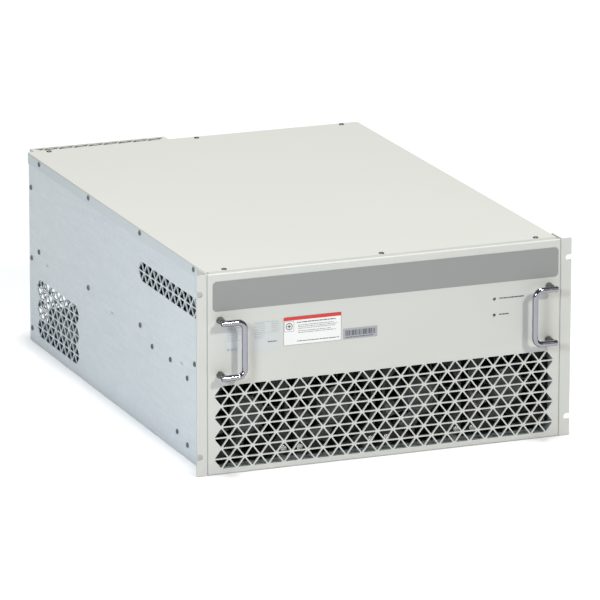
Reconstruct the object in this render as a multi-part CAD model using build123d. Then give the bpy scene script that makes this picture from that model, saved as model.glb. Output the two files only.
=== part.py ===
from build123d import *
import os
from math import hypot

# Rack power module: a fan-cooled power-electronics drawer for a 19-inch rack.
# Drawn in millimetres with +X to the right seen from the front, +Y from the front panel into the
# unit and +Z up. While drawing, y = 0 is the front face of the panel and z = 0 is the underside.
# On export everything moves by -MID_Y, so the origin is under the middle of the whole unit.

# ---------------------------------------------------------------- driving sizes
EAR_SPAN = 469.0        # over both rack ears
PANEL_W = 442.4         # front panel
HEIGHT = 240.0
DEPTH = 625.0           # front face to rear panel
HOOD_DEPTH = 18.0       # hood behind the rear panel
BODY_W = 438.4          # over the bare side panels
SIDE_T = 1.5            # side, base, deck and rear sheet
COVER_T = 1.2
FRONT_T = 2.0           # front panel and ears
BEND_R = 2.0

PITCH = 19.49           # grille triangles: base pitch, row height, bar width, corner radius
ROW_H = 12.58
BAR = 1.55
TIP_R = 0.8

EIA_HOLE_X = 465.1 / 2  # rack screw line
EIA_HOLE_Z = 193.675    # between the lower and upper notch

FAN_PITCH = 109.0
FAN_Z = 60.0
FAN_SIZE = 100.0
FAN_HOLE = 88.8
FAN_FRONT, FAN_BACK = 22.0, 60.0

HANDLE_X = 206.0        # hinge pin line of each handle
HANDLE_Z = (119.5, 184.5)
HANDLE_Y = -16.5
HANDLE_ROD_R = 3.5
HANDLE_REACH = 24.2     # pin to the middle of the grip
HANDLE_TAIL = 4.3       # rod beyond the pin
PIN_R = 1.25
RUNNING = 0.05          # radial clearance of a turning fit

DECK_Z = 110.5          # underside of the middle deck
SCREW_R = 1.75
HOLE_R = 1.85
HEAD_R = 3.2
HEAD_H = 1.2

# ---------------------------------------------------------------- derived sizes
SIDE_OUT = BODY_W / 2
SIDE_IN = SIDE_OUT - SIDE_T
COVER_OUT = SIDE_OUT + 1.0
DECK_TOP = DECK_Z + SIDE_T
COVER_UNDER = HEIGHT - COVER_T
HANDLE_FRONT = HANDLE_Y - HANDLE_ROD_R
HOOD_BACK = DEPTH + HOOD_DEPTH
MID_Y = (HANDLE_FRONT + HOOD_BACK) / 2
FAN_XS = [(n - 1.5) * FAN_PITCH for n in range(4)]
NOTCH_ZS = [HEIGHT / 2 - EIA_HOLE_Z / 2, HEIGHT / 2 + EIA_HOLE_Z / 2]

# Screw places on each side sheet, as (y, z), by the piece that they hold.
COVER_SIDE_YS = [46.8, 225.2, 403.6, 582.0]
COVER_SIDE_Z = 234.4
DECK_SIDE_YS = [46.8, 228.0, 409.0, 589.0]
DECK_SIDE_Z = 121.0
DECK_TAB_YS = [89.6, 325.2, 558.0]
REAR_SIDE_Y = 616.5
REAR_SIDE_ZS = [17.0, 107.0, 197.0]
SINK_SIDE = [(126.8, 105.5), (187.6, 105.5), (104.8, 24.2)]
FAN_PLATE_SIDE = [(71.0, 17.0), (71.0, 97.8)]
EAR_ZS = [40.0, 120.0, 200.0]
EAR_SCREW_Y = 17.0
COVER_TOP_XS = [-195.0, 0.0, 195.0]
COVER_TOP_YS = [14.8, 617.5]

# Terminals and sockets on the rear panel.
POLE_XS = [-183.5, -143.5, -103.5, -63.5]
TERMINAL_BOX = (-204.0, -43.0, 190.0, 232.0)
WIRE_R = 6.0
WIRE_Y = 632.5
SOCKET_XS = [128.0, 150.0]
SOCKET_Z = 182.0
SOCKET_W, SOCKET_H = 11.8, 8.0
PLUG_X, PLUG_Z = 80.0, 182.0
GROUND_X, GROUND_Z = 190.0, 150.0

LED_X = 136.8
LED_ZS = {"run_lens": 175.4, "fault_lens": 156.0}
LENS_R = 1.8
LED_BOARD_Y = 8.0


# ---------------------------------------------------------------- helpers
def block(x0, x1, y0, y1, z0, z1):
    size = Box(x1 - x0, y1 - y0, z1 - z0)
    return Pos((x0 + x1) / 2, (y0 + y1) / 2, (z0 + z1) / 2) * size


def rod_x(x0, x1, y, z, r):
    return Pos((x0 + x1) / 2, y, z) * Rot(0, 90, 0) * Cylinder(r, abs(x1 - x0))


def rod_y(x, y0, y1, z, r):
    return Pos(x, (y0 + y1) / 2, z) * Rot(90, 0, 0) * Cylinder(r, abs(y1 - y0))


def rod_z(x, y, z0, z1, r):
    return Pos(x, y, (z0 + z1) / 2) * Cylinder(r, abs(z1 - z0))


def group(pieces):
    return Compound(children=[p for piece in pieces for p in piece.solids()])


def mirrored(shape):
    return mirror(shape, about=Plane.YZ)


def triangle(up):
    """One grille hole, on its cell's base line, with the bar's half width taken off each side."""
    slant = hypot(PITCH / 2, ROW_H)
    inner_r = PITCH * ROW_H / (PITCH + 2 * slant)
    shrink = 1 - (BAR / 2) / inner_r
    corners = [(-PITCH / 2, 0), (PITCH / 2, 0), (0, ROW_H)]
    corners = [(x * shrink, inner_r + (z - inner_r) * shrink) for x, z in corners]
    if not up:
        corners = [(x, ROW_H - z) for x, z in corners]
    face = make_face(Polyline(*corners, close=True))
    return fillet(face.vertices(), TIP_R).wires()[0]


HOLE_UP, HOLE_DOWN = triangle(True), triangle(False)


def grille(columns, rows, middle, bottom, first_up=True):
    """Hole outlines of a triangle grille. Each row starts the other way up from the one below it."""
    outlines = []
    for row in range(rows):
        for column in range(columns):
            up = ((column + rows - 1 - row) % 2 == 0) == first_up
            x = middle + (column - (columns - 1) / 2) * PITCH / 2
            shape = HOLE_UP if up else HOLE_DOWN
            outlines.append(shape.moved(Location((x, bottom + row * ROW_H, 0))))
    return outlines


def rectangle(x0, x1, z0, z1):
    return Wire.make_polygon([(x0, z0), (x1, z0), (x1, z1), (x0, z1)], close=True)


def round_hole(x, z, r):
    return Wire.make_circle(r).moved(Location((x, z, 0)))


def sheet(plane, outline, holes, thickness):
    return extrude(plane * Face(outline, holes), amount=thickness)


def cross_recess(r, depth):
    bar = Box(1.5 * r, 0.36 * r, depth)
    return bar + Rot(0, 0, 90) * bar


def screw(length, head_r=HEAD_R, shank_r=SCREW_R):
    """Button-head screw with a cross recess: the head's underside is at z = 0 and the shank goes down."""
    head = Cylinder(head_r, HEAD_H, align=(Align.CENTER, Align.CENTER, Align.MIN))
    head = fillet(head.edges().group_by(Axis.Z)[-1], 0.7)
    recess = Pos(0, 0, HEAD_H) * cross_recess(head_r, 1.2)
    shank = Cylinder(shank_r, length, align=(Align.CENTER, Align.CENTER, Align.MAX))
    return head - recess + shank


def hex_post(x, y, z0, z1, across):
    return Pos(x, y, z0) * extrude(RegularPolygon(across / 2, 6, major_radius=False), z1 - z0)


# ---------------------------------------------------------------- sheet metal
GRILLE_Z = 5.9
GRILLE_COLUMNS, GRILLE_ROWS = 43, 8
GRILLE_W = (GRILLE_COLUMNS + 1) / 2 * PITCH
TOP_LIP = 9.5
SIDE_LIP = 28.0
PANEL_BACK = FRONT_T
POST_HOLE_R = 2.1


def front_panel():
    half = PANEL_W / 2
    outer = block(-half, half, 0, SIDE_LIP, 0, HEIGHT)
    outer = fillet(outer.edges().filter_by(Axis.Z).group_by(Axis.Y)[0], BEND_R)
    outer = fillet(outer.edges().filter_by(Axis.X).group_by(Axis.Y)[0], BEND_R - 0.4)
    cuts = [block(-SIDE_IN, SIDE_IN, FRONT_T, SIDE_LIP, SIDE_T, HEIGHT - SIDE_T)]
    cuts.append(block(-SIDE_OUT, SIDE_OUT, TOP_LIP, SIDE_LIP, 0, HEIGHT))
    window_top = GRILLE_Z + GRILLE_ROWS * ROW_H
    cuts.append(block(-GRILLE_W / 2, GRILLE_W / 2, -1, FRONT_T, GRILLE_Z, window_top))
    cuts += [rod_y(LED_X, -1, FRONT_T + 1, z, LENS_R + 0.1) for z in LED_ZS.values()]
    for side in (-1, 1):
        a, b = sorted([side * SIDE_IN, side * SIDE_OUT])
        cuts.append(block(a, b, FRONT_T, SIDE_LIP, 0, HEIGHT))
        a, b = sorted([side * SIDE_IN, side * (half + 1)])
        cuts.append(block(a, b, TOP_LIP, SIDE_LIP, COVER_UNDER, HEIGHT))
        cuts += [rod_y(side * HANDLE_X, -1, FRONT_T + 1, z, POST_HOLE_R) for z in HANDLE_Z]
        for z in EAR_ZS:
            cuts.append(rod_x(side * (SIDE_OUT - 1), side * (half + 1), EAR_SCREW_Y, z, HOLE_R))
    window = rectangle(-GRILLE_W / 2, GRILLE_W / 2, GRILLE_Z, window_top)
    holes = grille(GRILLE_COLUMNS, GRILLE_ROWS, 0, GRILLE_Z)
    return outer - cuts + sheet(Plane.XZ, window, holes, -FRONT_T)


def front_band():
    """Thin printed overlay across the top of the panel."""
    x0, x1, z0, z1 = -214.8, 217.8, 195.0, 230.6
    outline = Pos((x0 + x1) / 2, (z0 + z1) / 2) * RectangleRounded(x1 - x0, z1 - z0, 5)
    return extrude(Plane.XZ * outline, amount=0.3)


def label(x0, x1, z0, z1):
    outline = Pos((x0 + x1) / 2, (z0 + z1) / 2) * RectangleRounded(x1 - x0, z1 - z0, 1)
    return extrude(Plane.XZ * outline, amount=0.2)


def rack_ear_right():
    """Angle with the rack flange in front and open notches for the rack screws."""
    inner = PANEL_W / 2
    outer = EAR_SPAN / 2
    ear = block(inner, outer, 0, SIDE_LIP, 0, HEIGHT)
    ear -= block(inner + FRONT_T, outer, FRONT_T, SIDE_LIP, 0, HEIGHT)
    front_corner = ear.edges().filter_by(Axis.Z).group_by(Axis.Y)[0].sort_by(Axis.X)[0]
    ear = fillet(front_corner, BEND_R - 0.4)
    notch_w, notch_in = 6.8, EIA_HOLE_X - 2.0
    for z in NOTCH_ZS:
        ear -= block(notch_in, outer + 1, -1, FRONT_T + 1, z - notch_w / 2, z + notch_w / 2)
        ear -= rod_y(notch_in, -1, FRONT_T + 1, z, notch_w / 2)
    return ear - [rod_x(inner - 1, inner + 5, EAR_SCREW_Y, z, HOLE_R) for z in EAR_ZS]


TRAY_FRONT = 10.0
TRAY_RIM = 11.5


def base_tray():
    tray = block(-SIDE_IN, SIDE_IN, TRAY_FRONT, DEPTH - SIDE_T, 0, SIDE_T)
    for side in (-1, 1):
        x0, x1 = sorted([side * SIDE_IN, side * (SIDE_IN - SIDE_T)])
        tray += block(x0, x1, TRAY_FRONT, DEPTH - SIDE_T, SIDE_T, TRAY_RIM)
    return tray


def side_panel_left():
    """Flat side sheet with a short vent at the front, a tall one at the rear, holes and tab slots."""
    holes = grille(21, 2, 127.4, 175.7)
    holes += grille(15, 6, 520.7, 12.1)
    places = [(y, COVER_SIDE_Z) for y in COVER_SIDE_YS]
    places += [(y, DECK_SIDE_Z) for y in DECK_SIDE_YS]
    places += [(REAR_SIDE_Y, z) for z in REAR_SIDE_ZS]
    places += SINK_SIDE + FAN_PLATE_SIDE + [(EAR_SCREW_Y, z) for z in EAR_ZS]
    holes += [round_hole(y, z, HOLE_R) for y, z in places]
    slot_z = DECK_Z + SIDE_T / 2
    holes += [rectangle(y - 4.5, y + 4.5, slot_z - 0.95, slot_z + 0.95) for y in DECK_TAB_YS]
    outline = rectangle(PANEL_BACK, DEPTH, 0, COVER_UNDER)
    return Pos(-SIDE_OUT, 0, 0) * sheet(Plane.YZ, outline, holes, SIDE_T)


COVER_FRONT = 10.0
COVER_FLANGE_Z = 226.2


def top_cover():
    cover = block(-COVER_OUT, COVER_OUT, COVER_FRONT, DEPTH, COVER_FLANGE_Z, HEIGHT)
    cover = fillet(cover.edges().filter_by(Axis.Y).group_by(Axis.Z)[-1], 1.2)
    cover -= block(-SIDE_OUT, SIDE_OUT, COVER_FRONT, DEPTH, COVER_FLANGE_Z, COVER_UNDER)
    for side in (-1, 1):
        inner, outer = sorted([side * SIDE_OUT, side * (COVER_OUT + 1)])
        cover -= block(inner, outer, COVER_FRONT, SIDE_LIP + 0.4, COVER_FLANGE_Z, COVER_UNDER)
        for y in COVER_SIDE_YS:
            cover -= rod_x(inner - 1, outer, y, COVER_SIDE_Z, HOLE_R)
    for x in COVER_TOP_XS:
        for y in COVER_TOP_YS:
            cover -= rod_z(x, y, COVER_UNDER - 1, HEIGHT + 1, HOLE_R)
    return cover


def rear_panel():
    """Flat rear sheet with the exhaust grille, cut-outs for the terminals, and flanges on three sides."""
    x0, x1, z0, z1 = TERMINAL_BOX
    holes = grille(43, 6, 0, 19.6)
    holes.append(rectangle(x0 + 4, x1 - 4, z0 + 2, z1 - 4))
    holes += [rectangle(x - 7.2, x + 7.2, SOCKET_Z - 5.7, SOCKET_Z + 5.7) for x in SOCKET_XS]
    holes.append(rectangle(PLUG_X - 20, PLUG_X + 20, PLUG_Z - 5, PLUG_Z + 5))
    holes.append(round_hole(GROUND_X, GROUND_Z, 3.0))
    holes += [round_hole(x, HOOD_SCREW_Z, HOLE_R) for x in HOOD_SCREW_XS]
    outline = rectangle(-SIDE_IN, SIDE_IN, SIDE_T, COVER_UNDER)
    panel = Pos(0, DEPTH - SIDE_T, 0) * sheet(Plane.XZ, outline, holes, -SIDE_T)
    folds = []
    flange_y = DEPTH - 17
    for side in (-1, 1):
        a, b = sorted([side * SIDE_IN, side * (SIDE_IN - SIDE_T)])
        flange = block(a, b, flange_y, DEPTH - SIDE_T, TRAY_RIM + 1, COVER_UNDER - SIDE_T)
        folds.append(flange - [rod_x(a - 1, b + 1, REAR_SIDE_Y, z, SCREW_R) for z in REAR_SIDE_ZS])
    lip = block(-SIDE_IN, SIDE_IN, DEPTH - 15, DEPTH - SIDE_T, COVER_UNDER - SIDE_T, COVER_UNDER)
    screw_y = COVER_TOP_YS[1]
    for x in COVER_TOP_XS:
        lip -= rod_z(x, screw_y, COVER_UNDER - 3, COVER_UNDER + 1, SCREW_R)
    folds.append(lip)
    return panel + folds


HOOD_X = (-211.5, -34.0)
HOOD_SCREW_XS = [-206.5, -39.0]
HOOD_SCREW_Z = 160.0
HOOD_BOTTOM = 152.0


def terminal_hood():
    """Shallow guard over the terminals: slotted top, closed back and cheeks, open underneath."""
    x0, x1 = HOOD_X
    hood = block(x0, x1, DEPTH, HOOD_BACK, HOOD_BOTTOM, HEIGHT - 0.4)
    hood = fillet(hood.edges().filter_by(Axis.X).group_by(Axis.Z)[-1].sort_by(Axis.Y)[-1], 1.2)
    hood -= block(x0 + SIDE_T, x1 - SIDE_T, DEPTH, HOOD_BACK - SIDE_T, HOOD_BOTTOM, HEIGHT - 0.4 - SIDE_T)
    outlines = grille(17, 1, (x0 + x1) / 2, DEPTH + 2.2, first_up=False)
    hood -= [Pos(0, 0, HEIGHT - 3) * extrude(Face(outline), amount=4) for outline in outlines]
    for x in HOOD_SCREW_XS:
        tab = block(x - 5, x + 5, DEPTH, DEPTH + SIDE_T, HOOD_BOTTOM, HOOD_BOTTOM + 16)
        hood += tab - rod_y(x, DEPTH - 1, DEPTH + 3, HOOD_SCREW_Z, HOLE_R)
    return hood


def front_rail():
    """Cross rail between the side panels, under the front edge of the cover."""
    rail = block(-SIDE_IN, SIDE_IN, 10.5, 24, COVER_UNDER - SIDE_T, COVER_UNDER)
    rail += block(-SIDE_IN, SIDE_IN, 24 - SIDE_T, 24, 218, COVER_UNDER - SIDE_T)
    for x in COVER_TOP_XS:
        rail -= rod_z(x, COVER_TOP_YS[0], COVER_UNDER - 3, COVER_UNDER + 1, SCREW_R)
    return rail


def mid_deck():
    """Shelf over the air tunnel, with a window for the power modules and tabs through the sides."""
    inner = SIDE_IN - SIDE_T
    deck = block(-inner, inner, 12, 606, DECK_Z, DECK_TOP)
    deck -= block(-190, 190, 116, 210, DECK_Z, DECK_TOP)
    for side in (-1, 1):
        a, b = sorted([side * SIDE_IN, side * inner])
        flange = block(a, b, 30, 606, DECK_Z, DECK_Z + 20)
        for y in DECK_SIDE_YS:
            flange -= rod_x(a - 1, b + 1, y, DECK_SIDE_Z, SCREW_R)
        deck += flange
        a, b = sorted([side * SIDE_IN, side * (SIDE_OUT - 0.2)])
        for y in DECK_TAB_YS:
            deck += block(a, b, y - 4.3, y + 4.3, DECK_Z, DECK_TOP)
    return deck


def fan_plate():
    """Plate behind the fans that closes the tunnel around their outlets."""
    plate = block(-SIDE_IN + SIDE_T, SIDE_IN - SIDE_T, FAN_BACK, FAN_BACK + SIDE_T, SIDE_T, DECK_Z)
    for x in FAN_XS:
        plate -= rod_y(x, FAN_BACK - 1, FAN_BACK + 3, FAN_Z, 46.5)
        for dx in (-1, 1):
            for dz in (-1, 1):
                hole = (x + dx * FAN_HOLE / 2, FAN_Z + dz * FAN_HOLE / 2)
                plate -= rod_y(hole[0], FAN_BACK - 1, FAN_BACK + 3, hole[1], 2.0)
    for side in (-1, 1):
        a, b = sorted([side * SIDE_IN, side * (SIDE_IN - SIDE_T)])
        flange = block(a, b, FAN_BACK, 80, 12, DECK_Z - 0.5)
        for y, z in FAN_PLATE_SIDE:
            flange -= rod_x(a - 1, b + 1, y, z, SCREW_R)
        plate += flange
    return plate


# ---------------------------------------------------------------- handles
def handle_left():
    """Bent rod lying flat: two legs point outward to the hinge posts and the grip stands inboard."""
    z0, z1 = HANDLE_Z
    end_x = -HANDLE_X - HANDLE_TAIL
    grip_x = -HANDLE_X + HANDLE_REACH
    bend = 8.5
    path = FilletPolyline(
        (end_x, HANDLE_Y, z0),
        (grip_x, HANDLE_Y, z0),
        (grip_x, HANDLE_Y, z1),
        (end_x, HANDLE_Y, z1),
        radius=bend,
    )
    profile = Plane(origin=(end_x, HANDLE_Y, z0), z_dir=(1, 0, 0)) * Circle(HANDLE_ROD_R)
    rod = sweep(profile, path=path)
    rod = chamfer(rod.faces().filter_by(Axis.X).sort_by(Axis.X)[:2].edges(), 0.6)
    for z in HANDLE_Z:
        slot = block(end_x - 1, -HANDLE_X + 2.8, HANDLE_Y - 2.8, HANDLE_Y + 5, z - 1.35, z + 1.35)
        rod -= slot
        rod -= rod_z(-HANDLE_X, HANDLE_Y, z - 5, z + 5, PIN_R + RUNNING)
    return rod


def handle_posts_left():
    """Two studs that stand on the panel, each with a flat tongue that enters the rod's slot."""
    posts = []
    for z in HANDLE_Z:
        stem = rod_y(-HANDLE_X, -10, 0, z, 3.6)
        collar = chamfer(rod_y(-HANDLE_X, -1.6, 0, z, 4.4).edges().group_by(Axis.Y)[0], 0.4)
        tongue = block(-HANDLE_X - 2.6, -HANDLE_X + 2.6, HANDLE_Y, -9, z - 1.2, z + 1.2)
        tongue += rod_z(-HANDLE_X, HANDLE_Y, z - 1.2, z + 1.2, 2.6)
        post = stem + collar + tongue
        post -= rod_z(-HANDLE_X, HANDLE_Y, z - 5, z + 5, PIN_R)
        post -= rod_y(-HANDLE_X, -7, 1, z, 2.0)
        posts.append(post)
    return posts


def handle_pins():
    places = [(side * HANDLE_X, z) for side in (-1, 1) for z in HANDLE_Z]
    return [rod_z(x, HANDLE_Y, z - 3.3, z + 3.3, PIN_R) for x, z in places]


def handle_screws():
    """Screws from behind the panel into the posts."""
    one = screw(8.5, head_r=4.0, shank_r=2.0)
    places = [(side * HANDLE_X, z) for side in (-1, 1) for z in HANDLE_Z]
    return [Pos(x, FRONT_T, z) * Rot(-90, 0, 0) * one for x, z in places]


# ---------------------------------------------------------------- fans
FAN_BORE_R = 46.5
HUB_R = 23.0
HUB_FRONT, HUB_BACK = 24.0, 50.0
BLADE_TIP_R = 45.2
BLADES = 7
SHAFT_R = 1.5
STATOR_R = 18.5
STATOR_FRONT = 30.0


def axle_drum(front, back, r):
    """A disc about the fan's axis, from one depth of the unit to another."""
    return Pos(0, 0, (front + back) / 2 - FAN_FRONT) * Cylinder(r, back - front)


def fan_frame():
    """Square fan housing about the Z axis: intake face at z = 0, motor mount at the outlet side."""
    depth = FAN_BACK - FAN_FRONT
    half = FAN_SIZE / 2
    flange = extrude(RectangleRounded(FAN_SIZE, FAN_SIZE, 5), 4)
    low = Align.MIN
    body = flange + Pos(0, 0, depth - 4) * flange
    body += Cylinder(half - 1, depth, align=(Align.CENTER, Align.CENTER, low))
    body -= Pos(0, 0, depth / 2) * Cylinder(FAN_BORE_R, depth)
    intake_edges = body.edges().filter_by(GeomType.CIRCLE).group_by(Axis.Z)[0]
    body = fillet(intake_edges.sort_by(SortBy.RADIUS)[-1], 1.8)
    for x in (-1, 1):
        for y in (-1, 1):
            body -= Pos(x * FAN_HOLE / 2, y * FAN_HOLE / 2, depth / 2) * Cylinder(2.2, depth)
    mount = axle_drum(HUB_BACK + 1.5, FAN_BACK, HUB_R - 0.5)
    drum = axle_drum(STATOR_FRONT, HUB_BACK + 2, STATOR_R)
    strut = Pos(0, 0, depth - 4) * Box(2 * (FAN_BORE_R + 1), 3.2, 7)
    struts = Rot(0, 0, 30) * strut + Rot(0, 0, 90) * strut + Rot(0, 0, 150) * strut
    struts = struts - Pos(0, 0, depth - 4) * Cylinder(HUB_R - 3, 12)
    struts = struts & Pos(0, 0, depth / 2) * Cylinder(FAN_BORE_R + 1, depth)
    body = body + struts + mount + drum
    return body - Pos(0, 0, depth / 2) * Cylinder(SHAFT_R + RUNNING, depth)


def fan_blade():
    """One twisted blade, cut to the tip circle."""
    root_plane = Plane(origin=(HUB_R - 2, 0, 0), x_dir=(0, 1, 0), z_dir=(1, 0, 0))
    tip_plane = Plane(origin=(BLADE_TIP_R + 2, 0, 0), x_dir=(0, 1, 0), z_dir=(1, 0, 0))
    root = root_plane * Pos(0, 0) * Rot(0, 0, 46) * RectangleRounded(20, 2.0, 0.8)
    tip = tip_plane * Pos(9, 1) * Rot(0, 0, 30) * RectangleRounded(31, 1.6, 0.7)
    return loft([root, tip]) & Cylinder(BLADE_TIP_R, 60)


def fan_rotor():
    """Hub cup with blades and the shaft that runs in the frame's bearing; intake end at the low z."""
    length = HUB_BACK - HUB_FRONT
    low = Align.MIN
    hub = Cylinder(HUB_R, length, align=(Align.CENTER, Align.CENTER, low))
    hub = fillet(hub.edges().group_by(Axis.Z)[0], 2.2)
    middle = Pos(0, 0, length / 2)
    for n in range(BLADES):
        hub += middle * Rot(0, 0, n * 360 / BLADES) * fan_blade()
    hub -= Pos(0, 0, 2.5) * Cylinder(HUB_R - 2.2, length, align=(Align.CENTER, Align.CENTER, low))
    shaft = Cylinder(SHAFT_R, FAN_BACK - 1.5 - HUB_FRONT, align=(Align.CENTER, Align.CENTER, low))
    return Pos(0, 0, HUB_FRONT - FAN_FRONT) * (hub + shaft)


def place_fan(shape, x):
    return Pos(x, FAN_FRONT, FAN_Z) * Rot(-90, 0, 0) * shape


def fan_screws():
    one = screw(FAN_BACK - FAN_FRONT + 4, head_r=4.0, shank_r=1.9)
    screws = []
    for x in FAN_XS:
        for dx in (-1, 1):
            for dz in (-1, 1):
                place = Pos(x + dx * FAN_HOLE / 2, FAN_FRONT, FAN_Z + dz * FAN_HOLE / 2)
                screws.append(place * Rot(90, 0, 0) * one)
    return screws


# ---------------------------------------------------------------- indicators
def lens(z):
    """Dark light pipe from the indicator board to the panel face."""
    tip = rod_y(LED_X, 0.3, LED_BOARD_Y, z, LENS_R)
    return chamfer(tip.edges().group_by(Axis.Y)[0], 0.3)


LED_BOARD = (LED_X - 14, LED_X + 20, 146.0, 186.0)


def led_board():
    x0, x1, z0, z1 = LED_BOARD
    board = block(x0, x1, LED_BOARD_Y, LED_BOARD_Y + 1.6, z0, z1)
    board += block(x1 - 12, x1 - 4, LED_BOARD_Y + 1.6, LED_BOARD_Y + 7, 158, 174)
    for z in (z0 + 4, z1 - 4):
        board -= rod_y(x0 + 5, LED_BOARD_Y - 1, LED_BOARD_Y + 3, z, 1.6)
    return board


# ---------------------------------------------------------------- power stage
SINK_Y = (92.0, 222.0)
SINK_BASE = 11.0
FIN_T, FIN_PITCH = 2.0, 12.0
MODULE_XS = [-120.0, 0.0, 120.0]
MODULE_Y = (118.0, 208.0)
MODULE_TOP = DECK_Z + 30
DRIVER_Z = 152.0
CONTROL_Z = 212.0
CAP_BOARD_Z = 118.0
CAP_R, CAP_H = 25.0, 88.0
CAP_XS = [(n - 2.5) * 60 for n in range(6)]
CAP_YS = [300.0, 360.0, 420.0]
CHOKE_XS = [-130.0, 0.0, 130.0]
CHOKE_Y = (292.0, 372.0)
CHOKE_TOP = 100.0


def heat_sink():
    """Finned extrusion across the tunnel: base plate on top, thick end walls, fins down to the tray."""
    y0, y1 = SINK_Y
    profile = Pos(0, DECK_Z - SINK_BASE / 2) * Rectangle(2 * SIDE_IN, SINK_BASE)
    wall_low = TRAY_RIM + 1
    wall = Pos(0, (wall_low + DECK_Z) / 2) * Rectangle(6, DECK_Z - wall_low)
    walls = [Pos(side * (SIDE_IN - 3), 0) * wall for side in (-1, 1)]
    count = int((SIDE_IN - 10) // FIN_PITCH)
    fin = Pos(0, (8 + DECK_Z) / 2) * Rectangle(FIN_T, DECK_Z - 8)
    fins = [Pos(n * FIN_PITCH, 0) * fin for n in range(-count, count + 1)]
    sink = Pos(0, y0, 0) * extrude(Plane.XZ * (profile + walls + fins), amount=-(y1 - y0))
    inner, outer = SIDE_IN - 12, SIDE_IN + 1
    return sink - [rod_x(s * inner, s * outer, y, z, SCREW_R) for s in (-1, 1) for y, z in SINK_SIDE]


def power_module(x):
    """Moulded half-bridge block on its metal base, with three power tabs and a row of gate pins."""
    y0, y1 = MODULE_Y
    base = block(x - 52, x + 52, y0, y1, DECK_Z, DECK_Z + 3)
    house = block(x - 48, x + 48, y0 + 6, y1 - 6, DECK_Z + 3, MODULE_TOP - 6)
    house = chamfer(house.edges().group_by(Axis.Z)[-1], 2)
    module = base + house
    for n in (-1, 0, 1):
        module += block(x + n * 30 - 9, x + n * 30 + 9, y1 - 22, y1 - 8, MODULE_TOP - 8, MODULE_TOP)
    for n in range(6):
        module += block(x - 32 + n * 12, x - 29 + n * 12, y0 + 12, y0 + 15, MODULE_TOP - 8, DRIVER_Z)
    for dx in (-48.5, 48.5):
        for y in (y0 + 5, y1 - 5):
            module -= rod_z(x + dx, y, DECK_Z - 1, DECK_Z + 5, 2.2)
    return module


def gate_driver_board():
    board = block(-178, 178, 112, 184, DRIVER_Z, DRIVER_Z + 1.6)
    for x in MODULE_XS:
        board += block(x - 24, x - 6, 150, 172, DRIVER_Z + 1.6, DRIVER_Z + 14)
        board += block(x + 6, x + 24, 150, 172, DRIVER_Z + 1.6, DRIVER_Z + 14)
        board += block(x - 14, x + 14, 124, 134, DRIVER_Z + 1.6, DRIVER_Z + 9)
    return board


def can(x, y):
    """One capacitor can with a rolled edge and a dished top."""
    top = CAP_BOARD_Z + 1.6 + CAP_H
    body = rod_z(x, y, CAP_BOARD_Z + 1.6, top, CAP_R)
    body = fillet(body.edges().group_by(Axis.Z)[-1], 2)
    return body - rod_z(x, y, top - 1, top + 1, CAP_R - 4)


def dc_capacitors():
    return [can(x, y) for x in CAP_XS for y in CAP_YS]


def capacitor_board():
    return block(-190, 190, 264, 450, CAP_BOARD_Z, CAP_BOARD_Z + 1.6)


def dc_busbars():
    """Positive and negative plates from the module tabs back and down to the capacitor board."""
    bars = []
    for n, (gap, side) in enumerate([(0.0, -1), (5.0, 1)]):
        z = MODULE_TOP + gap
        plate = block(-175, 175, 192 + 4 * n, 262 + gap, z, z + 2)
        plate += block(-175, 175, 260 + gap, 262 + gap, CAP_BOARD_Z + 1.6, z)
        bars.append(plate)
    return bars


def choke(x):
    """Core and windings of one line choke: a two-window laminated core lying across the air stream."""
    y0, y1 = CHOKE_Y
    core = block(x - 52, x + 52, y0 + 18, y1 - 18, SIDE_T, CHOKE_TOP)
    for side in (-1, 1):
        core -= block(x + side * 26 - 12, x + side * 26 + 12, y0, y1, 20, CHOKE_TOP - 18)
    core += block(x - 56, x + 56, y0 + 14, y1 - 14, SIDE_T, 5)
    winding = block(x - 37, x + 37, y0, y1, 22, CHOKE_TOP - 20)
    winding = fillet(winding.edges().filter_by(Axis.Z), 10)
    winding -= block(x - 14.5, x + 14.5, y0 + 17.5, y1 - 17.5, 20, CHOKE_TOP - 16)
    return core, winding


def filter_capacitors():
    """Three potted boxes beside the rear vent."""
    boxes = []
    for n in range(3):
        y = 446 + n * 52
        box = block(-206, -152, y, y + 46, SIDE_T, 46)
        boxes.append(fillet(box.edges().group_by(Axis.Z)[-1], 2.5))
    return boxes


# ---------------------------------------------------------------- line side
CONTACTOR = (-206.0, -41.0, 474.0, 556.0, 188.0)
FUSE_XS = [40.0, 90.0, 140.0]
AC_BAR_Z = 200.0


def contactor():
    x0, x1, y0, y1, top = CONTACTOR
    body = block(x0, x1, y0, y1, DECK_TOP, top - 30)
    body += block(x0 + 6, x1 - 6, y0 + 14, y1 - 14, top - 30, top)
    body = chamfer(body.edges().group_by(Axis.Z)[-1], 2)
    for x in POLE_XS:
        for y in (y0 + 2, y1 - 12):
            body += block(x - 9, x + 9, y, y + 10, top - 30, top - 22)
    return body


def ac_busbars():
    """One bar for each pole, from the contactor's rear tabs up and back into the terminal block."""
    bars = []
    back = TERMINAL_Y[0]
    for x in POLE_XS:
        y = CONTACTOR[3] - 8
        foot = block(x - 7, x + 7, y - 3, y + 5, CONTACTOR[4] - 22, CONTACTOR[4] - 19)
        riser = block(x - 7, x + 7, y + 2, y + 5, CONTACTOR[4] - 22, AC_BAR_Z + 3)
        bars.append(foot + riser + block(x - 7, x + 7, y + 2, back, AC_BAR_Z, AC_BAR_Z + 3))
    return bars


def current_sensors():
    sensors = []
    for x in POLE_XS[:3]:
        ring = block(x - 17, x + 17, 572, 588, AC_BAR_Z - 18, AC_BAR_Z + 20)
        ring = fillet(ring.edges().filter_by(Axis.Y), 3)
        sensors.append(ring - block(x - 9, x + 9, 570, 590, AC_BAR_Z - 5, AC_BAR_Z + 8))
    return sensors


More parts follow.
